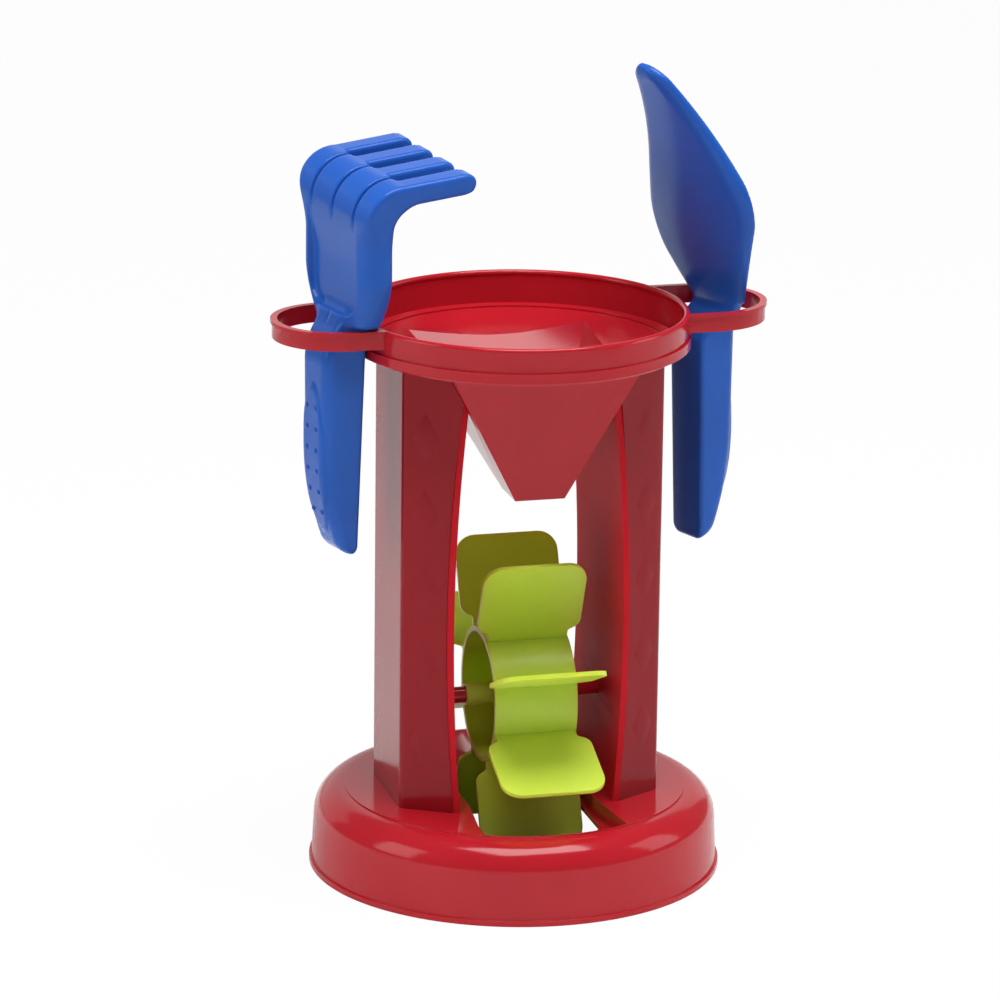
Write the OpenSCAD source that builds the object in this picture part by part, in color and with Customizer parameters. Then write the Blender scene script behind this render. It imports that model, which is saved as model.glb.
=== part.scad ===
// Sand wheel toy: a tray with a funnel feeds a paddle wheel between two columns,
// and a rake and a shovel hang in the tray's ears. Millimetres, +Z up, X along the axle,
// -Y is the front, origin on the floor under the middle of the base.

/* [Base] */
// Radius of the foot lip that stands on the floor
foot_r = 88; // [87:0.5:90]
// Height of the foot lip
foot_h = 2.4; // [1.4:0.2:4]
// Distance that the foot lip stands out past the side wall
foot_out = 1; // [0.5:0.1:2]
// Distance that the side wall leans in over its height
base_draft = 1; // [0.4:0.1:2]
// Height of the base top above the floor
base_h = 34.5; // [33:0.5:36]
// Radius of the rounding at the edge of the top
base_round = 12.5; // [9:0.5:12.5]
// Width of the shoulder outside the fine step on the top
shoulder_w = 13; // [12.6:0.1:13.4]
// Height of the fine step
step_h = 0.6; // [0.3:0.1:1]

/* [Well] */
// Height of the well's floor above the ground
well_z = 27.5; // [26:0.5:29]
// Half width of the well beside the wheel
well_mid_w = 27.2; // [26.6:0.2:28.4]
// Half width that the well flares to at the rim of the base
well_end_w = 34; // [30:0.5:38]
// Distance from the axle line at which the flare starts
well_flare_y = 28; // [20:1:36]
// Distance of the upper edge of the well's sloped ends from the fine step
well_in = 0.8; // [0.6:0.1:2]
// Width of the well's sloped ends, seen from above
well_slope_w = 10.2; // [8:0.2:12]
// Half width of the slot that the paddles dip through
slot_w = 25; // [24.6:0.1:25.6]
// Distance of the slot's ends from the well's sloped ends
slot_in = 8.5; // [6:0.5:10]
// Corner radius of the slot
slot_round = 9; // [4:0.5:12]

/* [Columns] */
// Distance of the outer wall from the middle
column_x = 56.7; // [55:0.5:60]
// Half depth of the outer wall
column_out_d = 24; // [20:0.5:26]
// Half depth of the column at its cheek
column_in_d = 34; // [32:0.5:34.5]
// Corner radius along the outer wall
column_round = 3.5; // [2.5:0.5:5]
// Height of the plinth that holds a column on the base
plinth_h = 3; // [2:0.5:6]
// Width of one diamond on the slanted faces
diamond_w = 17; // [12:0.5:18]
// Height of one diamond
diamond_h = 33; // [26:1:34]
// Rise of the diamonds above the slanted faces
diamond_rise = 1.1; // [0.6:0.1:1.4]

/* [Cheeks] */
// Distance of the cheek's face from the middle at its widest
cheek_x = 36.8; // [36:0.2:38]
// Thickness of the cheek
cheek_t = 2.6; // [2:0.2:3.4]
// Half depth of the cheek, past the column's faces
cheek_d = 36; // [35.5:0.5:38]
// Radius of the bow that the cheeks make over their height
bow_r = 900; // [800:50:1500]
// Height at which the window between the cheeks is widest
bow_z = 112; // [105:1:120]
// Radius of the boss that holds the axle
boss_r = 6.6; // [5.5:0.2:8]
// Length of the boss behind the cheek
boss_l = 8; // [6:0.5:11]

/* [Tray] */
// Radius of the tray's rim
rim_r = 71.2; // [70.5:0.1:72]
// Height of the rim above the floor
rim_z = 243.4; // [242.5:0.1:245]
// Radius of the rolled lip on the rim
lip_r = 1.4; // [1.2:0.1:1.7]
// Radius of the tray's wall on the inside at its foot
tray_in_r = 67.6; // [67:0.1:68]
// Radius of the band round the foot of the wall
band_r = 71.8; // [71.4:0.1:72.4]
// Height of the band's lower edge above the floor
band_z = 229; // [228.6:0.2:230.4]
// Height of the band
band_h = 4; // [3:0.5:6]
// Radius of the circle on which the tray's floor has its stated height
throat_r = 44; // [40:1:48]
// Height of the tray's floor there
throat_z = 225.5; // [224.5:0.1:226]
// Rise of the tray's floor per unit of radius
floor_share = 0.17; // [0.15:0.01:0.19]
// Radius of the fine ridge on the tray's floor
ridge_r = 62.5; // [61.5:0.5:65]
// Half depth of an ear
ear_d = 27; // [26.5:0.5:28]
// Distance of the middle of an ear's round end from the middle of the tray
ear_x = 79.2; // [79:0.2:82]
// Height of an ear's strip
ear_h = 7.8; // [6:0.2:8.6]
// Width of the bead on an ear's upper edge, past the strip
bead_w = 0.7; // [0.5:0.1:1]
// Height of that bead
bead_h = 1.6; // [1:0.2:2.4]

/* [Funnel] */
// Height of the outlet above the floor
outlet_z = 169.3; // [167:0.5:172]
// Half width of the outlet
outlet_w = 10.7; // [9.5:0.1:12]
// Front edge of the outlet
outlet_front = -34.4; // [-36:0.2:-33]
// Back edge of the outlet
outlet_back = -13; // [-15:0.5:-10]
// Half width of the funnel at the tray's floor
funnel_w = 40.3; // [39:0.1:41]
// Front edge of the funnel at the tray's floor
funnel_front = -45; // [-46:0.5:-43]
// Back edge of the funnel at the tray's floor
funnel_back = 37.5; // [35:0.5:40]

/* [Wheel and axle] */
// Height of the axle above the floor
axle_z = 75; // [74:0.5:76]
// Radius of the axle
axle_r = 3.5; // [3:0.1:4]
// Side play that the wheel has taken up toward the right
wheel_shift = 1.5; // [0:0.1:1.8]
// Number of paddles
paddles = 8; // [5:1:10]
// Angle of the first paddle above the front horizontal
paddle_turn = 22.6; // [0:0.2:44]
// Radius that the paddles reach
paddle_r = 68; // [64:0.5:69]
// Half width of a paddle
paddle_w = 22.5; // [20:0.1:22.8]
// Radius at which a paddle reaches its full width
paddle_in_r = 33; // [31:0.5:38]
// Corner radius of a paddle
paddle_round = 8.5; // [5:0.5:10]
// Rounding of the paddle's inner corners as a share of that of the outer ones
flare_share = 0.6; // [0.4:0.05:0.7]
// Thickness of a paddle
paddle_t = 1.9; // [1.4:0.1:2.6]
// Outer radius of the drum
drum_r = 29; // [26:0.5:30.5]
// Half length of the drum
drum_w = 18; // [14:0.5:19]
// Outer radius of the hub tube
hub_r = 4.7; // [4.5:0.1:6]
// Half length of the hub tube
hub_w = 24; // [22:0.5:28]
// Thickness of the web that joins the hub to the drum
web_t = 2.2; // [1.6:0.1:3]
// Radial clearance of the hub on the axle
run_gap = 0.06; // [0.03:0.01:0.09]

/* [Tools] */
// Width of both handles
handle_w = 21; // [17:0.5:21.5]
// Thickness of both handles from face to back
handle_t = 17.6; // [14:0.2:18]
// Height of the curved toe of a handle
toe_h = 48; // [34:1:60]
// Height of the grip pad
pad_h = 60; // [40:1:64]
// Width of the grip pad
pad_w = 14; // [10:0.5:16]
// Rise of the pad and of the bumps on it
pad_rise = 0.7; // [0.4:0.1:1]
// Number of bumps in one row of the pad
bumps = 6; // [3:1:8]
// Radius of one bump
bump_r = 0.8; // [0.5:0.1:1.2]
// Half width of the rake's palm, where it rests on the ear, as a share of the handle's width
neck_share = 0.79; // [0.78:0.01:0.86]
// Share of the handle's thickness that the toe takes off at the end
toe_share = 0.62; // [0.5:0.02:0.64]
// Share of the handle's thickness that the toe takes off part of the way down
toe_mid_share = 0.2; // [0.14:0.02:0.24]
// Half width of the handle's lower end as a share of its width
low_share = 0.42; // [0.38:0.01:0.46]
// Share of its height by which the grip pad stands above the toe
pad_share = 0.3; // [0.1:0.05:0.4]
// Distance of a row of bumps from the middle as a share of the pad's width
row_share = 0.24; // [0.18:0.02:0.3]
// Rounding of a small outline as a share of its width
round_share = 0.48; // [0.4:0.02:0.49]

/* [Rake] */
// Place of the rake's handle across the toy
rake_x = -82; // [-84:0.25:-81.75]
// Place of the rake's handle front to back
rake_y = -9.2; // [-9.2:0.2:-6]
// Turn of the rake in its ear
rake_turn = 13.3; // [8:0.1:16]
// Height of the lower end of the rake's handle
rake_low_z = 142.5; // [138:0.5:150]
// Height of the top of the tines
tine_z = 311; // [305:0.5:318]
// Reach of the tines inward from the handle's middle
tine_reach = 48; // [40:0.5:54]
// Thickness of a tine
tine_t = 10.6; // [9:0.2:12]
// Width of a tine
tine_w = 10.5; // [8:0.5:13]
// Distance between tines
tine_pitch = 19; // [16:0.5:21]
// Number of tines
tines = 4; // [3:1:5]
// Offset of the palm's outer face from the handle's middle
palm_out = -2; // [-4:0.5:0]
// Thickness of the palm
palm_t = 16; // [13:0.5:17]
// Half width of the palm
palm_w = 30.5; // [28:0.5:32]
// Height at which the palm reaches its full width
palm_wide_z = 267; // [262:0.5:272]
// Height at which the neck has become the palm
palm_low_z = 254; // [252:0.5:257]
// Rounding of the palm's outer edges
palm_round = 9; // [5:0.5:9]
// Outer radius of the bend
bend_out_r = 17; // [13:0.5:20]
// Inner radius of the bend
bend_in_r = 10; // [7:0.5:12]

/* [Shovel] */
// Place of the shovel's handle across the toy
shovel_x = 82.6; // [82.4:0.1:84]
// Place of the shovel's handle front to back
shovel_y = 8.8; // [7:0.2:8.8]
// Turn of the shovel in its ear
shovel_turn = 20; // [16:0.5:22]
// Height of the lower end of the shovel's handle
shovel_low_z = 137; // [132:0.5:146]
// Length of the scoop along its own slope
scoop_l = 105; // [94:1:112]
// Half width of the scoop at its widest corner, before rounding
scoop_w = 37.2; // [34:0.2:39]
// Half width of the scoop where it rests on the ear
scoop_root_w = 22.5; // [19:0.5:24]
// Distance from the scoop's root to its widest place
scoop_wide_z = 47; // [40:1:54]
// Lean of the scoop inward over the tray
scoop_lean = 16.3; // [12:0.1:18]
// Offset of the scoop's back from the handle's middle at its root
scoop_out = 1; // [0:0.2:2.4]
// Radius of the scoop's round back
scoop_r = 75; // [60:1:90]
// Rounding of the scoop's widest corners
scoop_round = 22; // [14:1:26]
// Half width of the scoop's tip
tip_w = 6.6; // [6:0.2:8]
// Rounding of the tip
tip_round = 7.6; // [5:0.2:8]
// Height of the slope that leads from the handle's back to the scoop
slope_h = 14; // [10:0.5:18]
// Height of the block that stiffens the scoop's root on the hollow side
block_h = 8; // [6:0.5:10]

/* [Make] */
// Wall thickness of the mouldings
wall = 2.2; // [1.8:0.1:2.6]
// Thickness of the tools' shells
shell_t = 2.6; // [2:0.1:3.4]
// Clearance of plugged pieces
seat_gap = 0.1; // [0.05:0.05:0.2]
// Clearance between the tools' necks and the ears they rest on
rest_gap = 0.3; // [0.2:0.05:0.4]

/* [Hidden] */
$fn = 72;
red = [0.70, 0.12, 0.15];
lime = [0.62, 0.77, 0.20];
blue = [0.20, 0.36, 0.70];
over = 1;
fine = 0.5;
bow_fn = 720;
bump_fn = 16;
corner_steps = 8;
base_low_r = foot_r - foot_out;
base_high_r = base_low_r - base_draft;
step_r = base_high_r - shoulder_w;
well_top_r = step_r - well_in;
well_low_r = well_top_r - well_slope_w;
slot_l = well_low_r - slot_in;
cheek_low_x = cheek_x - (rim_z - bow_z) * (rim_z - bow_z) / (2 * bow_r);
column_slope = (column_in_d - column_out_d) / (column_x - cheek_x - cheek_t);
column_angle = atan(column_slope);
column_deep = column_in_d + (cheek_x + cheek_t - cheek_low_x) * column_slope;
tray_under_z = throat_z + floor_share * (rim_r - throat_r) - wall;
axle_cheek_x = cheek_x - (axle_z - bow_z) * (axle_z - bow_z) / (2 * bow_r);
axle_half = axle_cheek_x + cheek_t + boss_l - wall;
ear_z = rim_z - ear_h;
rest_z = rim_z + rest_gap;
handle_top_z = rest_z + over;
tine_low_z = tine_z - tine_t;
palm_in = palm_out + palm_t;
top_w = ((tines - 1) * tine_pitch + tine_w) / 2;

function unit(v) = v / norm(v);
function floor_z(r) = throat_z + floor_share * (r - throat_r);
function rect(low, high) = [low, [high.x, low.y], high, [low.x, high.y]];

// Outline with one rounding radius per corner. The corners are listed anticlockwise; a corner that
// turns the other way becomes a fillet.
function soft(points, radii) =
  let (n = len(points))
  [for (i = [0 : n - 1])
     let (u = unit(points[(i + n - 1) % n] - points[i]),
          v = unit(points[(i + 1) % n] - points[i]),
          half = acos(u * v) / 2,
          middle = points[i] + unit(u + v) * radii[i] / sin(half),
          start = points[i] + u * radii[i] / tan(half) - middle,
          turn = sign(v.x * u.y - v.y * u.x) * (180 - 2 * half))
       for (k = [0 : radii[i] > 0 ? corner_steps : 0])
         let (a = turn * k / corner_steps)
           middle + [start.x * cos(a) - start.y * sin(a), start.x * sin(a) + start.y * cos(a)]];
function even(radius) = [for (i = [0 : 3]) radius];

// Solid from a side outline (across, up), centred front to back.
module from_side(depth) rotate([90, 0, 0]) linear_extrude(depth, center = true) children();

// Solid from a front outline (front to back, up), starting at the middle and running along +X.
module from_front(depth) rotate([90, 0, 90]) linear_extrude(depth) children();

module on_right(side) mirror([side > 0 ? 0 : 1, 0, 0]) children();

// Base

module base_outline(inset) {
  polygon([[0, -inset], [foot_r - inset, -inset], [foot_r - inset, foot_h - inset],
           [base_low_r - inset, foot_h - inset], [base_high_r - inset, base_h - step_h - base_round],
           [base_high_r - base_round, base_h - step_h - inset], [0, base_h - step_h - inset]]);
  translate([base_high_r - base_round, base_h - step_h - base_round]) circle(r = base_round - inset);
}

module well_shape(grow) {
  slope = (well_top_r - well_low_r) / (base_h - well_z);
  intersection() {
    translate([0, 0, well_z - grow])
      linear_extrude(base_h - well_z + grow + over)
        for (end = [-1, 1])
          polygon([[-well_mid_w - grow, 0], [-well_mid_w - grow, end * well_flare_y],
                   [-well_end_w - grow, end * foot_r], [well_end_w + grow, end * foot_r],
                   [well_mid_w + grow, end * well_flare_y], [well_mid_w + grow, 0]]);
    translate([0, 0, well_z - grow])
      cylinder(h = base_h - well_z + grow + over, r1 = well_low_r + grow - grow * slope,
               r2 = well_top_r + grow + over * slope);
  }
}

module base() color(red) difference() {
  union() {
    rotate_extrude() difference() {
      base_outline(0);
      base_outline(wall);
    }
    translate([0, 0, base_h - wall]) cylinder(h = wall, r = step_r);
    intersection() {
      well_shape(wall);
      cylinder(h = base_h, r = step_r);
    }
    for (side = [-1, 1]) on_right(side) plinth();
  }
  well_shape(0);
  translate([0, 0, well_z - wall - over])
    linear_extrude(wall + 2 * over)
      polygon(soft(rect([-slot_w, -slot_l], [slot_w, slot_l]), even(slot_round)));
}

// Columns

module column_outline(inset) {
  deep = inset * sqrt(1 + column_slope * column_slope);
  x = column_x - inset;
  y = column_out_d + inset * column_slope - deep;
  in_y = column_deep - deep;
  round = column_round - inset;
  polygon(soft([[cheek_low_x, -in_y], [x, -y], [x, y], [cheek_low_x, in_y]], [0, round, round, 0]));
}

module plinth()
  translate([0, 0, base_h - fine])
    linear_extrude(plinth_h + fine)
      difference() {
        column_outline(wall + seat_gap);
        translate([0, -foot_r]) square([cheek_x + cheek_t + boss_l, 2 * foot_r]);
      }

// Everything on the wheel's side of a bowed surface that lies the given depth behind the cheek's face.
module bow_side(depth)
  translate([cheek_x - bow_r, 0, bow_z])
    rotate([90, 0, 0])
      cylinder(h = 2 * foot_r, r = bow_r + depth, center = true, $fn = bow_fn);

// Room for the tray and its funnel, with the clearance of a plugged piece.
module tray_space() {
  deep = wall + seat_gap;
  rotate_extrude()
    polygon([[0, floor_z(0) - deep], [rim_r, floor_z(rim_r) - deep], [rim_r, rim_z + over], [0, rim_z + over]]);
  funnel_shape(-seat_gap);
}

// Low four-sided pyramid, sunk a little into the wall.
module diamond() {
  w = diamond_w / 2;
  h = diamond_h / 2;
  polyhedron([[w, 0, -fine], [0, h, -fine], [-w, 0, -fine], [0, -h, -fine], [0, 0, diamond_rise]],
             [[4, 1, 0], [4, 2, 1], [4, 3, 2], [4, 0, 3], [0, 1, 2], [0, 2, 3]]);
}

module diamonds() {
  count = floor((tray_under_z - base_h) / diamond_h);
  start = (tray_under_z + base_h - (count - 1) * diamond_h) / 2;
  mid_x = (column_x + cheek_x + cheek_t) / 2;
  mid_y = (column_out_d + column_in_d) / 2;
  for (front = [0, 1], i = [0 : count - 1])
    mirror([0, front, 0])
      translate([mid_x, -mid_y, start + i * diamond_h])
        rotate([90, 0, column_angle])
          diamond();
}

module column(side) color(red) on_right(side) difference() {
  union() {
    translate([0, 0, base_h])
      linear_extrude(rim_z - base_h) difference() {
        column_outline(0);
        column_outline(wall);
      }
    diamonds();
  }
  bow_side(cheek_t + seat_gap);
  tray_space();
}

// Cheeks

module cheek(side) color(red) on_right(side) difference() {
  union() {
    intersection() {
      difference() {
        bow_side(cheek_t);
        bow_side(0);
      }
      translate([0, -cheek_d, base_h]) cube([column_x, 2 * cheek_d, rim_z - base_h]);
    }
    translate([axle_cheek_x + cheek_t / 2, 0, axle_z])
      rotate([0, 90, 0]) cylinder(h = cheek_t / 2 + boss_l, r = boss_r);
  }
  tray_space();
  translate([axle_cheek_x - over, 0, axle_z])
    rotate([0, 90, 0]) cylinder(h = axle_half - axle_cheek_x + over + seat_gap, r = axle_r + seat_gap);
}

// Tray with funnel and ears

module tray_outline() {
  polygon([[0, floor_z(0) - wall], [tray_in_r + wall / 2, floor_z(tray_in_r) - wall],
           [tray_in_r + wall / 2, floor_z(tray_in_r)], [0, floor_z(0)]]);
  polygon([[tray_in_r, floor_z(tray_in_r) - wall], [tray_in_r + wall / 2, floor_z(tray_in_r) - wall],
           [band_r - wall, band_z], [band_r, band_z], [band_r, band_z + band_h], [rim_r - fine, band_z + band_h],
           [rim_r, rim_z - lip_r], [rim_r - wall, rim_z - lip_r], [tray_in_r, floor_z(tray_in_r) - fine]]);
  translate([rim_r - lip_r, rim_z - lip_r]) circle(r = lip_r);
  translate([ridge_r, floor_z(ridge_r) - wall]) square([wall / 2, wall + fine]);
}

// Four-sided funnel, leaning to the front so that the sand falls on the wheel's front side.
module funnel_shape(inset) {
  rise = throat_z - outlet_z;
  z0 = inset > 0 ? -over : 0;
  z1 = floor_z(tray_in_r) + over - outlet_z;
  function at(z, low, high) = low + (high - low) * z / rise;
  translate([0, 0, outlet_z]) intersection() {
    from_side(2 * foot_r)
      polygon([[-at(z0, outlet_w, funnel_w) + inset, z0], [at(z0, outlet_w, funnel_w) - inset, z0],
               [at(z1, outlet_w, funnel_w) - inset, z1], [-at(z1, outlet_w, funnel_w) + inset, z1]]);
    translate([-foot_r, 0, 0])
      from_front(2 * foot_r)
        polygon([[at(z0, outlet_front, funnel_front) + inset, z0], [at(z0, outlet_back, funnel_back) - inset, z0],
                 [at(z1, outlet_back, funnel_back) - inset, z1], [at(z1, outlet_front, funnel_front) + inset, z1]]);
  }
}

module ear_outline(grow) difference() {
  union() {
    translate([0, -ear_d - grow]) square([ear_x, 2 * (ear_d + grow)]);
    translate([ear_x, 0]) circle(r = ear_d + grow);
  }
  translate([0, -ear_d + wall]) square([ear_x, 2 * (ear_d - wall)]);
  translate([ear_x, 0]) circle(r = ear_d - wall);
  circle(r = rim_r - wall / 2);
}

module tray() color(red) difference() {
  union() {
    rotate_extrude() tray_outline();
    intersection() {
      funnel_shape(0);
      rotate_extrude() polygon([[0, outlet_z], [rim_r, outlet_z], [tray_in_r, floor_z(tray_in_r)], [0, floor_z(0)]]);
    }
    for (side = [-1, 1])
      on_right(side) {
        translate([0, 0, ear_z]) linear_extrude(ear_h) ear_outline(0);
        translate([0, 0, rim_z - bead_h]) linear_extrude(bead_h) ear_outline(bead_w);
      }
  }
  funnel_shape(wall);
}

// Axle and wheel

module axle() color(red)
  translate([0, 0, axle_z]) rotate([0, 90, 0]) cylinder(h = 2 * axle_half, r = axle_r, center = true);

module paddle() {
  root = drum_r - wall / 2;
  neck_w = drum_w - fine;
  step = (paddle_w - neck_w) / 2;
  right = [[neck_w, root], [neck_w, paddle_in_r], [paddle_w, paddle_in_r + step], [paddle_w, paddle_r]];
  left = [for (i = [3 : -1 : 0]) [-right[i].x, right[i].y]];
  linear_extrude(paddle_t, center = true)
    polygon(soft(concat(right, left), [0, step / 2, paddle_round * flare_share, paddle_round,
                                       paddle_round, paddle_round * flare_share, step / 2, 0]));
}

module tube(half, outer, inner) rotate([0, 90, 0]) difference() {
  cylinder(h = 2 * half, r = outer, center = true);
  cylinder(h = 2 * half + over, r = inner, center = true);
}

module wheel() color(lime)
  translate([wheel_shift, 0, axle_z]) {
    for (i = [0 : paddles - 1])
      rotate([180 - paddle_turn - i * 360 / paddles, 0, 0]) paddle();
    tube(drum_w, drum_r, drum_r - wall);
    tube(hub_w, hub_r, axle_r + run_gap);
    tube(web_t / 2, drum_r - wall / 2, hub_r - fine / 2);
  }

// Tools. Each is drawn with its grip pad facing -X and is turned into its ear afterwards.

module handle_side(low_z, grow) {
  face = -handle_t / 2 - grow;
  polygon(soft([[face, handle_top_z], [face, low_z + toe_h],
                [face + handle_t * toe_mid_share, low_z + toe_h * low_share],
                [face + handle_t * toe_share, low_z], [handle_t / 2 - shell_t, low_z], [handle_t / 2, handle_top_z]],
               [0, toe_h, toe_h, shell_t, shell_t / 2, 0]));
}

module handle(low_z) {
  low_w = handle_w * low_share;
  pad_z = low_z + toe_h + pad_h * pad_share;
  intersection() {
    from_side(handle_w) handle_side(low_z, 0);
    translate([-handle_t, 0, 0])
      from_front(2 * handle_t)
        polygon(soft([[-handle_w / 2, handle_top_z], [-low_w, low_z], [low_w, low_z], [handle_w / 2, handle_top_z]],
                     [0, low_w * 2 * low_share, low_w * 2 * low_share, 0]));
  }
  intersection() {
    from_side(handle_w) handle_side(low_z, pad_rise);
    translate([-handle_t, 0, pad_z - pad_h])
      from_front(handle_t)
        polygon(soft(rect([-pad_w / 2, 0], [pad_w / 2, pad_h]), even(pad_w * round_share)));
  }
  intersection() {
    from_side(handle_w) handle_side(low_z, 2 * pad_rise);
    for (row = [-1, 1], i = [0 : bumps - 1])
      translate([-handle_t, row * pad_w * row_share, pad_z - pad_h * (i + 1) / (bumps + 1)])
        rotate([0, 90, 0]) cylinder(h = handle_t, r = bump_r, $fn = bump_fn);
  }
}

module rake_side() {
  end = tine_reach - tine_t / 2;
  difference() {
    polygon(soft(rect([palm_out, rest_z], [end, tine_z]), [0, 0, 0, bend_out_r]));
    polygon(soft(rect([palm_in, rest_z - over], [tine_reach + over, tine_low_z]), [0, 0, 0, bend_in_r]));
  }
  translate([end, tine_z - tine_t / 2]) circle(r = tine_t / 2);
}

module neck_side()
  polygon([[-handle_t / 2 + fine, rest_z], [handle_t / 2 + fine, rest_z],
           [palm_in - fine, palm_low_z + 2 * over], [palm_out + fine, palm_low_z + 2 * over]]);

module rake_front() {
  neck_w = handle_w * neck_share;
  polygon(soft([[-top_w, tine_z + over], [-palm_w, palm_wide_z], [-neck_w, rest_z],
                [neck_w, rest_z], [palm_w, palm_wide_z], [top_w, tine_z + over]],
               [0, palm_t, 0, 0, palm_t, 0]));
}

module rake_cuts() {
  gap = tine_pitch - tine_w;
  root = palm_in + bend_in_r;
  for (i = [1 : tines - 1])
    translate([0, (i - tines / 2) * tine_pitch, 0]) {
      translate([root, -gap / 2, palm_low_z]) cube([tine_reach, gap, tine_z]);
      from_side(shell_t / 2) difference() {
        translate([palm_out - over, tine_low_z - bend_out_r]) square([root - palm_out + 2 * over, tine_z]);
        polygon(soft(rect([palm_out + fine * 2, palm_low_z], [tine_reach, tine_z - fine * 2]),
                     [0, 0, 0, bend_out_r - fine * 2]));
      }
    }
  dish_w = palm_w - shell_t * 3;
  translate([palm_out, 0, palm_low_z + shell_t])
    rotate([0, -atan(shell_t / (tine_z - palm_low_z)), 0])
      translate([-handle_t + shell_t / 2, 0, 0])
        from_front(handle_t)
          polygon(soft([[-dish_w, tine_low_z - palm_low_z - bend_out_r], [-dish_w, palm_t / 2], [-dish_w / 2, 0],
                        [dish_w / 2, 0], [dish_w, palm_t / 2], [dish_w, tine_low_z - palm_low_z - bend_out_r]],
                       [for (i = [0 : 5]) palm_t / 2]));
}

module rake() color(blue)
  translate([rake_x, rake_y, 0])
    rotate([0, 0, rake_turn]) {
      handle(rake_low_z);
      difference() {
        union() {
          intersection() {
            from_side(2 * foot_r) rake_side();
            translate([-handle_t, 0, 0]) from_front(2 * foot_r) rake_front();
            linear_extrude(rim_z + foot_r)
              polygon(soft(rect([palm_out, -top_w], [tine_reach, top_w]), [palm_round, 0, 0, palm_round]));
          }
          from_side(handle_w - 2 * fine) neck_side();
        }
        rake_cuts();
      }
    }

module scoop_front() {
  right = [[scoop_root_w, 0], [scoop_w, scoop_wide_z], [tip_w, scoop_l]];
  left = [for (i = [2 : -1 : 0]) [-right[i].x, right[i].y]];
  polygon(soft(concat(right, left), [0, scoop_round, tip_round, tip_round, scoop_round, 0]));
}

// Leaf-shaped plate bent round a cylinder.
module scoop_plate() intersection() {
  translate([-over, 0, 0]) from_front(scoop_w) scoop_front();
  translate([scoop_r, 0, -over])
    difference() {
      cylinder(h = scoop_l + 2 * over, r = scoop_r);
      translate([0, 0, -over]) cylinder(h = scoop_l + 4 * over, r = scoop_r - shell_t);
    }
}

// Wedge between the handle's top and the hollow side of the plate.
module scoop_block() {
  w = handle_w * low_share;
  back = handle_t / 2 - fine;
  from_side(2 * w)
    polygon([[scoop_out + shell_t / 2, rest_z - over], [back, rest_z - over], [back, rest_z + over],
             [scoop_out + shell_t / 2 - block_h * tan(scoop_lean), rest_z + block_h]]);
}

// Slope on the handle's back, from its full thickness to the scoop's root.
module scoop_slope()
  from_side(handle_w + 2 * over)
    polygon([[-handle_t, rest_z - slope_h - (handle_t / 2 + scoop_out)], [-handle_t / 2 - over, rest_z - slope_h],
             [scoop_out, rest_z], [scoop_out, handle_top_z + over], [-handle_t, handle_top_z + over]]);

module shovel() color(blue)
  translate([shovel_x, shovel_y, 0])
    rotate([0, 0, shovel_turn]) {
      difference() {
        mirror([1, 0, 0]) handle(shovel_low_z);
        scoop_slope();
      }
      scoop_block();
      intersection() {
        translate([scoop_out, 0, rest_z - over])
          rotate([0, -scoop_lean, 0]) scoop_plate();
        translate([-foot_r, -foot_r, rest_z]) cube([2 * foot_r, 2 * foot_r, 2 * foot_r]);
      }
    }

module column_left() column(-1);
module column_right() column(1);
module cheek_left() cheek(-1);
module cheek_right() cheek(1);

base();
column_left();
column_right();
cheek_left();
cheek_right();
tray();
axle();
wheel();
rake();
shovel();
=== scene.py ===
from math import cos, hypot, radians, sin

import bmesh
import bpy
import numpy as np
from mathutils import Matrix, Vector


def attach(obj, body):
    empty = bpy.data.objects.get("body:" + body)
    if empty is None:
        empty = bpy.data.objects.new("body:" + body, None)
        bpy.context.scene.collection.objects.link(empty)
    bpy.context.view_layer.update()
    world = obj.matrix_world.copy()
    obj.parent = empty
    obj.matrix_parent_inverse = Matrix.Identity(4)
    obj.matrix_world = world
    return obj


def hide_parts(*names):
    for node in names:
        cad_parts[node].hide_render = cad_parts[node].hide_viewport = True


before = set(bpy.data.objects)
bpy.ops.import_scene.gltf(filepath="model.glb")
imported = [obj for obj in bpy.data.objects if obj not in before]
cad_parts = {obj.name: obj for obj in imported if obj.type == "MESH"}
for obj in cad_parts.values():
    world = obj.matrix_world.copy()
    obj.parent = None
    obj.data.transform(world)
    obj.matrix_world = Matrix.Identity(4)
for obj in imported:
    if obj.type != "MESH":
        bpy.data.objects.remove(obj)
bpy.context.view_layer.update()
MM = 0.001

# Sizes in millimetres. Those of the tools lie near the part's source and are fitted to the photo.
# Each tool has its own axes: s across its handle, w along the handle's width, z up.
RIM_Z, REST_GAP = 243.4, 0.3
REST_Z = RIM_Z + REST_GAP

# Copies of the CAD pieces: joining of points, flat faces, edges that are rounded
MERGE, FLAT_ANGLE, EDGE_ANGLE = 0.002, 0.4, 28.0
# The diamonds on the columns are so low that only a small angle keeps their edges crisp.
COLUMN_ANGLE = 5.0

# Handles, whose low end is the toe
HANDLE_W, GRIP_FACE, GRIP_BACK, BACK_TAPER, LOW_SHARE = 24.0, -10.2, 9.4, 3.2, 0.43
TOE_H, TOE_CUT, TOE_CURVE = 48.0, 9.6, 2.08
TOE_R, FACE_R, BACK_R, TOP_R = 7.0, 5.0, 2.0, 3.0
PAD_H, PAD_W, PAD_RISE, PAD_MID, PAD_EDGE_SHARE = 64.0, 18.5, 0.8, 42.0, 0.125
BUMPS, BUMP_PITCH, BUMP_ROW, BUMP_R, BUMP_FLATNESS, BUMP_OUT = 6, 9.0, 4.0, 1.1, 0.8, 0.1

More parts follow.
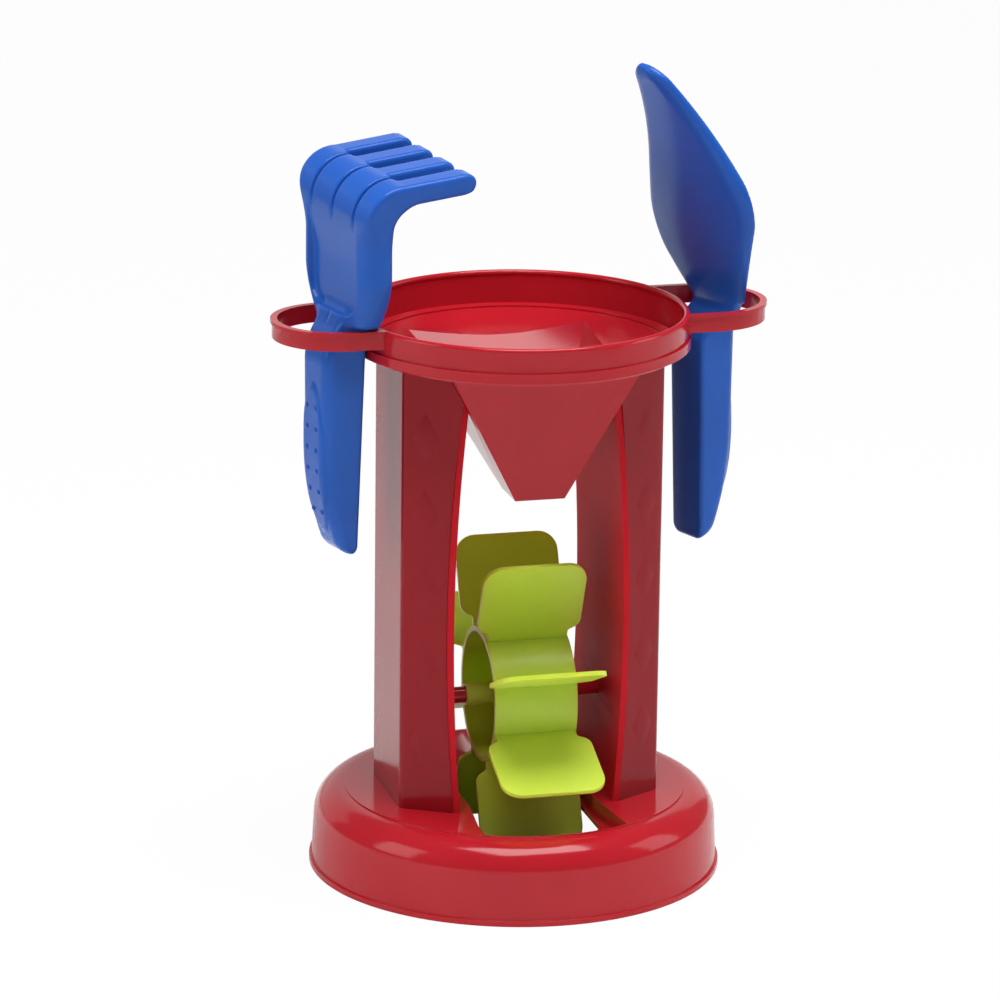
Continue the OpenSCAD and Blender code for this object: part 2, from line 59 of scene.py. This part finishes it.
# Rake
RAKE_X, RAKE_Y, RAKE_TURN, RAKE_LOW = -82.0, -9.2, 13.3, 144.5
RAKE_HANDLE_UP, RAKE_SLOPE_LOW, RAKE_SLOPE_UP, RAKE_JOIN_R = 8.0, 9.0, 4.0, 4.0
TINES, TINE_Z, TINE_REACH, TINE_T, TINE_W, TINE_PITCH = 4, 311.0, 48.0, 9.0, 10.5, 19.0
TINE_EDGE_R, TINE_END_R = 1.8, 1.0
TILT_Z, TILT_H, TILT_DROP, TILT_SLOPE, RISE_FROM, RISE_SLOPE = 250.0, 50.0, 2.2, 0.075, 16.0, 0.09
PALM_OUT, PALM_T, PALM_HALF_W, PALM_WIDE_Z, PALM_EDGE_R = -2.0, 14.0, 30.5, 265.7, 9.0
PALM_TOP_Z, PALM_FADE, BEND_OUT, BEND_IN, SHOULDER_R = 304.0, 24.0, 17.0, 11.0, 2.0
NECK_H, NECK_CUT, NECK_CURVE, NECK_LIMIT = 22.0, 11.0, 1.6, 1.2
SPREAD, SPREAD_Z, SPREAD_H = 3.2, 278.0, 32.0
DISH_HALF_W, DISH_LOW_Z, DISH_R, DISH_DEPTH, DISH_EDGE = 21.5, 249.5, 11.0, 2.9, 1.6
DISH_TOP_Z, DISH_FADE = 294.0, 26.0
SLOT_FROM, SLOT_R, SLOT_EDGE_R = 4.5, 1.2, 1.5
GROOVE_HALF_W, GROOVE_DEPTH, GROOVE_Z, GROOVE_FADE = 1.1, 3.4, 288.0, 14.0
GROOVE_R, GROOVE_EDGE_R = 0.4, 0.7

# Shovel
SHOVEL_X, SHOVEL_Y, SHOVEL_TURN, SHOVEL_LOW = 82.6, 8.8, 20.0, 137.0
SHOVEL_HANDLE_UP, SHOVEL_SLOPE_LOW, SHOVEL_SLOPE_UP, SHOVEL_JOIN_R = 6.0, 17.0, 7.0, 3.0
SCOOP_L, SCOOP_LEAN, SCOOP_OUT, SCOOP_SINK, TIP_ROUND = 109.5, 16.3, 1.0, 1.0, 7.6
SHELL_T, SHELL_EDGE_R, BOW_R = 3.2, 1.5, 140.0
# Corners of the scoop's edge: the place along the scoop and the half width there
FRONT_EDGE, FRONT_R = ((0, 20.7), (45, 39.6), (107, 11)), 10.0
REAR_EDGE, REAR_R = ((3, 19), (24, 39), (103, 8)), 16.0
EDGE_BLEND = 10.0
BAND_TURN, BAND_W, BAND_LIMIT = 2.3, 6.0, 1.2
TIP_LEAN, TIP_FROM, TIP_OVER = 7.5, 60.0, 45.0
ROOT_REAR_W, ROOT_FRONT_W, ROOT_TAPER, ROOT_H, ROOT_DROP, ROOT_R = 14.0, 19.5, 0.55, 14.0, 2.0, 1.0

# Boxes in which the tools' skins are looked for, and the step of the grid there
RAKE_BOX, RAKE_STEP = ((-13, -36, RAKE_LOW), (TINE_REACH, 36, 318)), 0.7
SHOVEL_BOX, SHOVEL_STEP = ((-50, -42, SHOVEL_LOW), (16, 42, 350)), 0.62


# Meshes

def linear(code):
    """Linear colour of an sRGB hex value."""
    parts = [int(code[i:i + 2], 16) / 255 for i in (1, 3, 5)]
    return [c / 12.92 if c <= 0.04045 else ((c + 0.055) / 1.055) ** 2.4 for c in parts] + [1.0]


def add_object(name, mesh, material):
    piece = bpy.data.objects.new(name, mesh)
    bpy.context.scene.collection.objects.link(piece)
    mesh.materials.clear()
    mesh.materials.append(material)
    return piece


def moulded_copy(part, material, edge, shade):
    """Copy of a CAD node with its edges rounded as a mould rounds them. It stands for the node."""
    shape = bmesh.new()
    shape.from_mesh(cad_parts[part].data)
    bmesh.ops.remove_doubles(shape, verts=shape.verts, dist=MERGE * MM)
    bmesh.ops.dissolve_limit(shape, angle_limit=radians(FLAT_ANGLE), verts=shape.verts, edges=shape.edges)
    mesh = bpy.data.meshes.new(part + "_moulding")
    shape.to_mesh(mesh)
    shape.free()
    for face in mesh.polygons:
        face.use_smooth = True
    mesh.set_sharp_from_angle(angle=radians(shade))
    piece = add_object(part + "_moulding", mesh, material)
    bevel = piece.modifiers.new("edge", "BEVEL")
    bevel.width = edge * MM
    bevel.segments = 3
    bevel.limit_method = "ANGLE"
    bevel.angle_limit = radians(EDGE_ANGLE)
    bevel.harden_normals = True
    bevel.use_clamp_overlap = True
    return piece


def skin(field, low, high, step):
    """Vertices and quads of the surface on which a field of points is 0; it is below 0 inside."""
    axes = [np.arange(a - 2 * step, b + 2 * step, step) for a, b in zip(low, high)]
    grid = np.stack(np.meshgrid(*axes, indexing="ij"), -1)
    value = field(grid.reshape(-1, 3)).reshape(grid.shape[:3])
    # Each cell that the surface passes has one point: the mean of the places where it cuts the cell's edges.
    cells = [size - 1 for size in value.shape]
    total, hits, edges = np.zeros(cells + [3]), np.zeros(cells), []
    for axis in range(3):
        m, n = (axis + 1) % 3, (axis + 2) % 3
        near, far = [slice(None)] * 3, [slice(None)] * 3
        near[axis], far[axis] = slice(0, -1), slice(1, None)
        here, there = value[tuple(near)], value[tuple(far)]
        cross = (here < 0) != (there < 0)
        share = np.where(cross, here / np.where(cross, here - there, 1), 0)
        point = grid[tuple(near)].copy()
        point[..., axis] += share * step
        for i in (0, 1):
            for k in (0, 1):
                span = [slice(None)] * 3
                span[m], span[n] = slice(i, cells[m] + i), slice(k, cells[n] + k)
                total += point[tuple(span)] * cross[tuple(span)][..., None]
                hits += cross[tuple(span)]
        edges.append((m, n, cross, here < 0))
    index = np.cumsum(hits.ravel() > 0).reshape(cells) - 1
    points = total[hits > 0] / hits[hits > 0][:, None]
    # Each cut edge of the grid has one quad, between the points of the four cells around it.
    quads = []
    for m, n, cross, within in edges:
        span = [slice(None)] * 3
        span[m], span[n] = slice(1, cells[m]), slice(1, cells[n])
        cross, within = cross[tuple(span)], within[tuple(span)]
        corners = []
        for i, k in ((0, 0), (1, 0), (1, 1), (0, 1)):
            span[m], span[n] = slice(i, cells[m] - 1 + i), slice(k, cells[n] - 1 + k)
            corners.append(index[tuple(span)][cross])
        quad = np.stack(corners, -1)
        outward = within[cross]
        quads += [quad[outward], quad[~outward][:, ::-1]]
    # The points are then pushed onto the surface, by half a step at most each time.
    probe, least_slope = 0.1, 0.3
    for _ in range(3):
        here = field(points)
        rises = [field(points + d) - field(points - d) for d in probe * np.eye(3)]
        slope = np.stack(rises, -1) / (2 * probe)
        push = here / np.maximum((slope ** 2).sum(-1), least_slope)
        points = points - np.clip(push, -step / 2, step / 2)[:, None] * slope
    return points, np.concatenate(quads)


def placed_mesh(name, points, quads, turn, place):
    """Smooth mesh of points in millimetres, turned about Z and put in its place."""
    c, s = cos(radians(turn)), sin(radians(turn))
    x = points[:, 0] * c - points[:, 1] * s + place[0]
    y = points[:, 0] * s + points[:, 1] * c + place[1]
    mesh = bpy.data.meshes.new(name)
    mesh.from_pydata((np.stack([x, y, points[:, 2]], -1) * MM).tolist(), [], quads.tolist())
    for face in mesh.polygons:
        face.use_smooth = True
    mesh.update()
    return mesh


# Fields: distances in millimetres, below 0 inside

def joined(a, b, round_r):
    """Union with a fillet."""
    h = np.clip(0.5 + 0.5 * (b - a) / round_r, 0, 1)
    return b + (a - b) * h - round_r * h * (1 - h)


def common(a, b, round_r):
    """Intersection with a round edge."""
    u, v = a + round_r, b + round_r
    return np.hypot(np.maximum(u, 0), np.maximum(v, 0)) + np.minimum(np.maximum(u, v), 0) - round_r


def ease(t):
    """Smooth step from 0 to 1."""
    t = np.clip(t, 0, 1)
    return t * t * (3 - 2 * t)


def beside(x, y, start, end):
    """Distance from a line between two points; above 0 on its left, looking along it."""
    run, rise = end[0] - start[0], end[1] - start[1]
    return (run * (y - start[1]) - rise * (x - start[0])) / hypot(run, rise)


def grip_face(z, low):
    """Place of the handle's face: upright, with a toe that curves to the back."""
    t = np.clip((z - low) / TOE_H, 0, 1)
    return GRIP_FACE + TOE_CUT * (1 - t) ** TOE_CURVE


def handle_field(s, w, z, low, top):
    """Handle with an oval grip pad on its -s face, whose edges are rounder than those of the back."""
    up = np.clip((z - low) / (top - low), 0, 1)
    back = GRIP_BACK - BACK_TAPER * (1 - up)
    half_w = HANDLE_W * (LOW_SHARE + (0.5 - LOW_SHARE) * up)
    oval = np.hypot(w / (PAD_W / 2), (z - low - PAD_MID) / (PAD_H / 2))
    face = grip_face(z, low) - PAD_RISE * ease((1 - oval) / PAD_EDGE_SHARE + 0.5)
    body = common(common(face - s, low - z, TOE_R), np.abs(w) - half_w, FACE_R)
    return common(common(body, s - back, BACK_R), z - top, TOP_R)


def rake_field(p):
    """Rake: a palm above the handle, bent over into tines."""
    s, w, z = p[:, 0], p[:, 1], p[:, 2]
    palm_in, tine_low = PALM_OUT + PALM_T, TINE_Z - TINE_T
    # The tines rise a little toward their tips and toward the back.
    tilt = ease((z - TILT_Z) / TILT_H) * (TILT_DROP - TILT_SLOPE * w)
    level = z + tilt - RISE_SLOPE * np.maximum(s - RISE_FROM, 0)
    outer = common(PALM_OUT - s, level - TINE_Z, BEND_OUT)
    inner = common(palm_in - s, level - tine_low, BEND_IN)
    # Dish in the palm's outer face, which runs out upward.
    rim = common(np.abs(w) - DISH_HALF_W, DISH_LOW_Z - z, DISH_R)
    dish = DISH_DEPTH * ease(0.5 - rim / DISH_EDGE) * ease((DISH_TOP_Z - z) / DISH_FADE)
    # The palm narrows to the neck, and its edges are rounder than those of the tines.
    palm = ease((PALM_TOP_Z - level) / PALM_FADE)
    narrow = np.clip((PALM_WIDE_Z - z) / NECK_H, 0, NECK_LIMIT) ** NECK_CURVE
    half_w = PALM_HALF_W - NECK_CUT * narrow + SPREAD * ease((z - SPREAD_Z) / SPREAD_H)
    head = common(outer, np.abs(w) - half_w, TINE_EDGE_R + (PALM_EDGE_R - TINE_EDGE_R) * palm)
    head = np.maximum(head, outer + dish)
    head = common(head, -inner, TINE_EDGE_R * (1 + palm))
    head = common(head, REST_Z - z, SHOULDER_R)
    # Round ends of the tines.
    half_t = TINE_T / 2
    end = np.hypot(np.maximum(s - TINE_REACH + half_t, 0), level - TINE_Z + half_t) - half_t
    head = common(head, np.where(s > TINE_REACH - half_t, end, -TINE_T), TINE_END_R)
    # Slots between the tines, and grooves that run on from them over the bend.
    for i in range(1, TINES):
        off = np.abs(w - (i - TINES / 2) * TINE_PITCH)
        slot = common(off - (TINE_PITCH - TINE_W) / 2, palm_in + SLOT_FROM - s, SLOT_R)
        head = common(head, -slot, SLOT_EDGE_R)
        floor_depth = GROOVE_DEPTH * ease((level - GROOVE_Z) / GROOVE_FADE)
        groove = common(off - GROOVE_HALF_W, -outer - floor_depth, GROOVE_R)
        head = common(head, -groove, GROOVE_EDGE_R)
    # The handle's top slopes from its face to the palm.
    grip = handle_field(s, w, z, RAKE_LOW, REST_Z + RAKE_HANDLE_UP)
    slope = beside(s, z, (GRIP_FACE, REST_Z - RAKE_SLOPE_LOW), (PALM_OUT, REST_Z + RAKE_SLOPE_UP))
    return joined(head, common(grip, slope, RAKE_JOIN_R), RAKE_JOIN_R)


def scoop_edge(t, w, corners, round_r):
    """Distance from one long edge of the scoop, which is widest between its root and its tip."""
    root, middle, tip = corners
    return common(beside(t, np.abs(w), root, middle), beside(t, np.abs(w), middle, tip), round_r)


def scoop_field(s, w, z):
    """Scoop: a leaning plate whose rear edge is fuller low down than its front edge."""
    c, d = cos(radians(SCOOP_LEAN)), sin(radians(SCOOP_LEAN))
    a, b = s - SCOOP_OUT, z - REST_Z + SCOOP_SINK
    x, t = a * c + b * d, b * c - a * d
    front, rear = scoop_edge(t, w, FRONT_EDGE, FRONT_R), scoop_edge(t, w, REAR_EDGE, REAR_R)
    edge = common(front + (rear - front) * ease(0.5 + w / EDGE_BLEND), t - SCOOP_L, TIP_ROUND)
    # The plate bows over its width, leans more toward its tip, and a band along its edge turns back.
    bow = w ** 2 / (2 * BOW_R)
    band = BAND_TURN * np.clip(1 + edge / BAND_W, 0, BAND_LIMIT) ** 2
    back = bow + band - TIP_LEAN * np.maximum((t - TIP_FROM) / TIP_OVER, 0) ** 2
    shell = common(np.maximum(back - x, x - back - SHELL_T), edge, SHELL_EDGE_R)
    # The root rests on the ear; narrower, it reaches down into the ear.
    neck = np.where(w > 0, ROOT_REAR_W, ROOT_FRONT_W) - ROOT_TAPER * np.maximum(REST_Z - z, 0)
    rest = np.where(w > 0, 0, -ROOT_DROP) + REST_Z - z
    root = np.maximum(np.abs(w) - neck, REST_Z - ROOT_H - z)
    return common(shell, np.minimum(rest, root), ROOT_R)


def shovel_field(p):
    """Shovel: the scoop on a handle whose grip faces the other way, with a top that slopes to the scoop."""
    s, w, z = p[:, 0], p[:, 1], p[:, 2]
    grip = handle_field(-s, w, z, SHOVEL_LOW, REST_Z + SHOVEL_HANDLE_UP)
    slope = beside(s, z, (-GRIP_BACK, REST_Z - SHOVEL_SLOPE_LOW), (SCOOP_OUT, REST_Z - SHOVEL_SLOPE_UP))
    return joined(scoop_field(s, w, z), common(grip, slope, BACK_R), SHOVEL_JOIN_R)


# Materials

def node(tree, kind, settings=None, **links):
    """Adds a node, sets its properties and inputs, and links named inputs."""
    made = tree.nodes.new(kind)
    for key, value in (settings or {}).items():
        if hasattr(made, key):
            setattr(made, key, value)
        else:
            made.inputs[key].default_value = value
    for key, source in links.items():
        tree.links.new(source, made.inputs[key.replace("_", " ")])
    return made


# Marks of the mould in millimetres: flow of the melt, unevenness of the skin and its height, depth of light
FLOW_MARK, SKIN_MARK, SKIN_RELIEF, LIGHT_DEPTH = 40.0, 9.0, 0.2, 4.0
POLYPROPYLENE_IOR, GLOSS_SPREAD = 1.49, 0.03


def moulded_polypropylene(name, dark, light, rough, shine, depth):
    """Polypropylene from a steel mould: an even colour with faint flow marks, a soft gloss, and a skin
    that is a little uneven, so that reflections waver. Light enters a pale colour by the share depth."""
    material = bpy.data.materials.new(name)
    material.use_nodes = True
    tree = material.node_tree
    tree.nodes.clear()
    place = node(tree, "ShaderNodeTexCoord").outputs["Object"]
    flow = node(tree, "ShaderNodeTexNoise", {"Scale": 1 / (FLOW_MARK * MM), "Detail": 2.0}, Vector=place)
    ramp = node(tree, "ShaderNodeValToRGB", {}, Fac=flow.outputs["Fac"])
    for stop, at, code in zip(ramp.color_ramp.elements, (0.3, 0.7), (dark, light)):
        stop.position, stop.color = at, linear(code)
    marks = node(tree, "ShaderNodeTexNoise", {"Scale": 1 / (SKIN_MARK * MM), "Detail": 3.0}, Vector=place)
    gloss = node(tree, "ShaderNodeMapRange", {"To Min": rough - GLOSS_SPREAD, "To Max": rough + GLOSS_SPREAD},
                 Value=marks.outputs["Fac"])
    relief = node(tree, "ShaderNodeBump", {"Strength": 0.05, "Distance": SKIN_RELIEF * MM},
                  Height=marks.outputs["Fac"])
    shader = node(tree, "ShaderNodeBsdfPrincipled",
                  {"IOR": POLYPROPYLENE_IOR, "Specular IOR Level": shine, "Subsurface Weight": depth,
                   "Subsurface Scale": LIGHT_DEPTH * MM, "Subsurface Radius": (1.0, 1.0, 0.3)},
                  Base_Color=ramp.outputs["Color"], Roughness=gloss.outputs["Result"],
                  Normal=relief.outputs["Normal"])
    node(tree, "ShaderNodeOutputMaterial", {}, Surface=shader.outputs["BSDF"])
    return material


# A polished mould gives the tower its clear highlights.
red = moulded_polypropylene("polypropylene_moulded_red", "#b41a26", "#ba1e29", 0.13, 0.32, 0.0)
# The cheeks are satin, so they stay red where a polished wall would mirror the room.
satin_red = moulded_polypropylene("polypropylene_satin_red", "#c8212d", "#ce2530", 0.5, 0.03, 0.0)
# The columns are painted a darker red: painted shade for the shadow that the tray casts on them.
red_painted_shade = moulded_polypropylene("polypropylene_moulded_deep_red", "#90131d", "#961620", 0.13, 0.2, 0.0)
# The wheel's thin paddles let light through, so they stay green in the shade.
lime = moulded_polypropylene("polypropylene_moulded_lime", "#c6e04c", "#cce652", 0.34, 0.36, 0.8)
# The tools have a softer gloss than the tower.
blue = moulded_polypropylene("polypropylene_moulded_blue", "#235ab8", "#275fbe", 0.22, 0.21, 0.0)


# Pieces: what each is made of, the radius of its edges, and the angle from which an edge looks sharp

for part, body, slot, material, edge, shade in (
        ("base", "tower", "red", red, 0.6, EDGE_ANGLE),
        # The columns take the red with painted shade.
        ("column_left", "tower", "red", red_painted_shade, 0.15, COLUMN_ANGLE),
        ("column_right", "tower", "red", red_painted_shade, 0.15, COLUMN_ANGLE),
        ("tray", "tower", "red", red, 0.5, EDGE_ANGLE),
        ("axle", "tower", "red", red, 0.3, EDGE_ANGLE),
        ("cheek_left", "tower", "red", satin_red, 0.25, EDGE_ANGLE),
        ("cheek_right", "tower", "red", satin_red, 0.25, EDGE_ANGLE),
        ("wheel", "paddle_wheel", "lime", lime, 0.5, EDGE_ANGLE)):
    piece = moulded_copy(part, material, edge, shade)
    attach(piece, body)
    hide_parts(part)

for part, body, field, box, step, turn, place in (
        ("rake", "hung_rake", rake_field, RAKE_BOX, RAKE_STEP, RAKE_TURN, (RAKE_X, RAKE_Y)),
        ("shovel", "hung_shovel", shovel_field, SHOVEL_BOX, SHOVEL_STEP, SHOVEL_TURN, (SHOVEL_X, SHOVEL_Y))):
    points, quads = skin(field, *box, step)
    mesh = placed_mesh(part + "_moulding", points, quads, turn, place)
    piece = add_object(part + "_moulding", mesh, blue)
    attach(piece, body)
    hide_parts(part)


# Bumps on the grips

def bump_tree():
    """Puts a round bump of given size on every point of a mesh."""
    tree = bpy.data.node_groups.new("grip_bumps", "GeometryNodeTree")
    names = {}
    for title, kind in (("Geometry", "NodeSocketGeometry"), ("Radius", "NodeSocketFloat"),
                        ("Flatness", "NodeSocketFloat"), ("Material", "NodeSocketMaterial")):
        names[title] = tree.interface.new_socket(title, in_out="INPUT", socket_type=kind).identifier
    tree.interface.new_socket("Geometry", in_out="OUTPUT", socket_type="NodeSocketGeometry")
    given = node(tree, "NodeGroupInput").outputs
    ball = node(tree, "GeometryNodeMeshIcoSphere", {"Subdivisions": 3}, Radius=given["Radius"])
    flat = node(tree, "ShaderNodeCombineXYZ", {"Y": 1.0, "Z": 1.0}, X=given["Flatness"])
    set_on = node(tree, "GeometryNodeInstanceOnPoints", {}, Points=given["Geometry"],
                  Instance=ball.outputs["Mesh"], Scale=flat.outputs["Vector"])
    real = node(tree, "GeometryNodeRealizeInstances", {}, Geometry=set_on.outputs["Instances"])
    smooth = node(tree, "GeometryNodeSetShadeSmooth", {}, Geometry=real.outputs["Geometry"])
    dressed = node(tree, "GeometryNodeSetMaterial", {}, Geometry=smooth.outputs["Geometry"],
                   Material=given["Material"])
    node(tree, "NodeGroupOutput", {}, Geometry=dressed.outputs["Geometry"])
    return tree, names


def grip_bumps(name, low, side, turn, place):
    """Two rows of bumps on a grip pad, following the face of the handle."""
    heights = [low + PAD_MID + BUMP_PITCH * (k - (BUMPS - 1) / 2) for k in range(BUMPS)]
    spots = np.array([(side * (grip_face(z, low) - PAD_RISE + BUMP_OUT), w, z)
                      for w in (-BUMP_ROW, BUMP_ROW) for z in heights])
    no_faces = np.zeros((0, 4), int)
    carrier = add_object(name + "_points", placed_mesh(name + "_points", spots, no_faces, turn, place), blue)
    grow = carrier.modifiers.new("bumps", "NODES")
    grow.node_group, names = bumps
    grow[names["Radius"]] = BUMP_R * MM
    grow[names["Flatness"]] = BUMP_FLATNESS
    grow[names["Material"]] = blue
    mesh = bpy.data.meshes.new_from_object(carrier.evaluated_get(bpy.context.evaluated_depsgraph_get()))
    bpy.data.objects.remove(carrier)
    return add_object(name, mesh, blue)


bumps = bump_tree()
for name, body, low, side, turn, place in (
        ("rake_grip_bumps", "hung_rake", RAKE_LOW, 1, RAKE_TURN, (RAKE_X, RAKE_Y)),
        ("shovel_grip_bumps", "hung_shovel", SHOVEL_LOW, -1, SHOVEL_TURN, (SHOVEL_X, SHOVEL_Y))):
    piece = grip_bumps(name, low, side, turn, place)
    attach(piece, body)


# Floor, light and camera, in metres

ROOM_LIGHT, PAPER_GLOW, FLOOR_HALF = 0.2, 0.95, 4.0

# The room is white to the camera and gives everything else a low, even light.
world = bpy.data.worlds.new("white_room")
bpy.context.scene.world = world
world.use_nodes = True
tree = world.node_tree
tree.nodes.clear()
rays = node(tree, "ShaderNodeLightPath").outputs
level = node(tree, "ShaderNodeMapRange", {"To Min": ROOM_LIGHT, "To Max": 1.0}, Value=rays["Is Camera Ray"])
sky = node(tree, "ShaderNodeBackground", {"Color": (1, 1, 1, 1)}, Strength=level.outputs["Result"])
node(tree, "ShaderNodeOutputWorld", {}, Surface=sky.outputs["Background"])

# The paper is matt and keeps the object's shadow; a glow that only the camera sees makes it white.
paper = bpy.data.materials.new("matt_white_paper")
paper.use_nodes = True
tree = paper.node_tree
tree.nodes.clear()
matt = node(tree, "ShaderNodeBsdfDiffuse", {"Color": linear("#f4f4f4")})
glow = node(tree, "ShaderNodeEmission", {"Color": (1, 1, 1, 1), "Strength": 1.0})
rays = node(tree, "ShaderNodeLightPath").outputs
share = node(tree, "ShaderNodeMapRange", {"To Min": 0.0, "To Max": PAPER_GLOW}, Value=rays["Is Camera Ray"])
mixed = node(tree, "ShaderNodeMixShader")
for source, target in zip((share, matt, glow), mixed.inputs):
    tree.links.new(source.outputs[0], target)
node(tree, "ShaderNodeOutputMaterial", {}, Surface=mixed.outputs[0])
mesh = bpy.data.meshes.new("floor")
mesh.from_pydata([(x * FLOOR_HALF, y * FLOOR_HALF, 0) for x, y in ((-1, -1), (1, -1), (1, 1), (-1, 1))], [],
                 [(0, 1, 2, 3)])
floor = add_object("floor", mesh, paper)

# Soft boxes: place, height that it is aimed at, size, and power in watts
for name, place, aim_z, size, power in (
        ("overhead", (0.08, -0.3, 1.7), 0.15, (1.2, 0.9), 30),
        ("back_wall", (0, 2.2, 0.75), 0.3, (4.0, 1.4), 10),
        ("right_side", (1.5, -0.3, 0.75), 0.15, (0.7, 1.0), 5),
        ("left_side", (-1.5, -0.1, 0.7), 0.15, (0.7, 1.0), 6)):
    lamp = bpy.data.lights.new(name, "AREA")
    lamp.shape = "RECTANGLE"
    lamp.size, lamp.size_y = size
    lamp.energy = power
    rig = bpy.data.objects.new(name, lamp)
    bpy.context.scene.collection.objects.link(rig)
    rig.location = place
    rig.rotation_euler = (Vector((0, 0, aim_z)) - Vector(place)).to_track_quat("-Z", "Y").to_euler()
    rig.visible_camera = False

# The camera was fitted to the round edges of base and tray in the photo.
AZIMUTH, ELEVATION, ROLL = radians(-15.2), radians(15.828), radians(0.717)
DISTANCE, FOCUS_PX, FRAME_PX, SENSOR_W = 2.330058, 5504.869, 1000.0, 36.0
AIM_ACROSS, AIM_Z = -0.007637, 0.159646
back = Vector((sin(AZIMUTH) * cos(ELEVATION), -cos(AZIMUTH) * cos(ELEVATION), sin(ELEVATION)))
right = (-back).cross(Vector((0, 0, 1))).normalized()
up = right.cross(-back)
right, up = right * cos(ROLL) + up * sin(ROLL), up * cos(ROLL) - right * sin(ROLL)
spot = Vector((AIM_ACROSS * cos(AZIMUTH), AIM_ACROSS * sin(AZIMUTH), AIM_Z)) + back * DISTANCE
lens = bpy.data.cameras.new("camera")
lens.sensor_width = SENSOR_W
lens.lens = FOCUS_PX * SENSOR_W / FRAME_PX
lens.clip_start, lens.clip_end = 0.1, 20.0
camera = bpy.data.objects.new("camera", lens)
bpy.context.scene.collection.objects.link(camera)
camera.matrix_world = Matrix((
    (right.x, up.x, back.x, spot.x), (right.y, up.y, back.y, spot.y), (right.z, up.z, back.z, spot.z),
    (0, 0, 0, 1)))
bpy.context.scene.camera = camera
bpy.context.scene.view_settings.view_transform = "Standard"
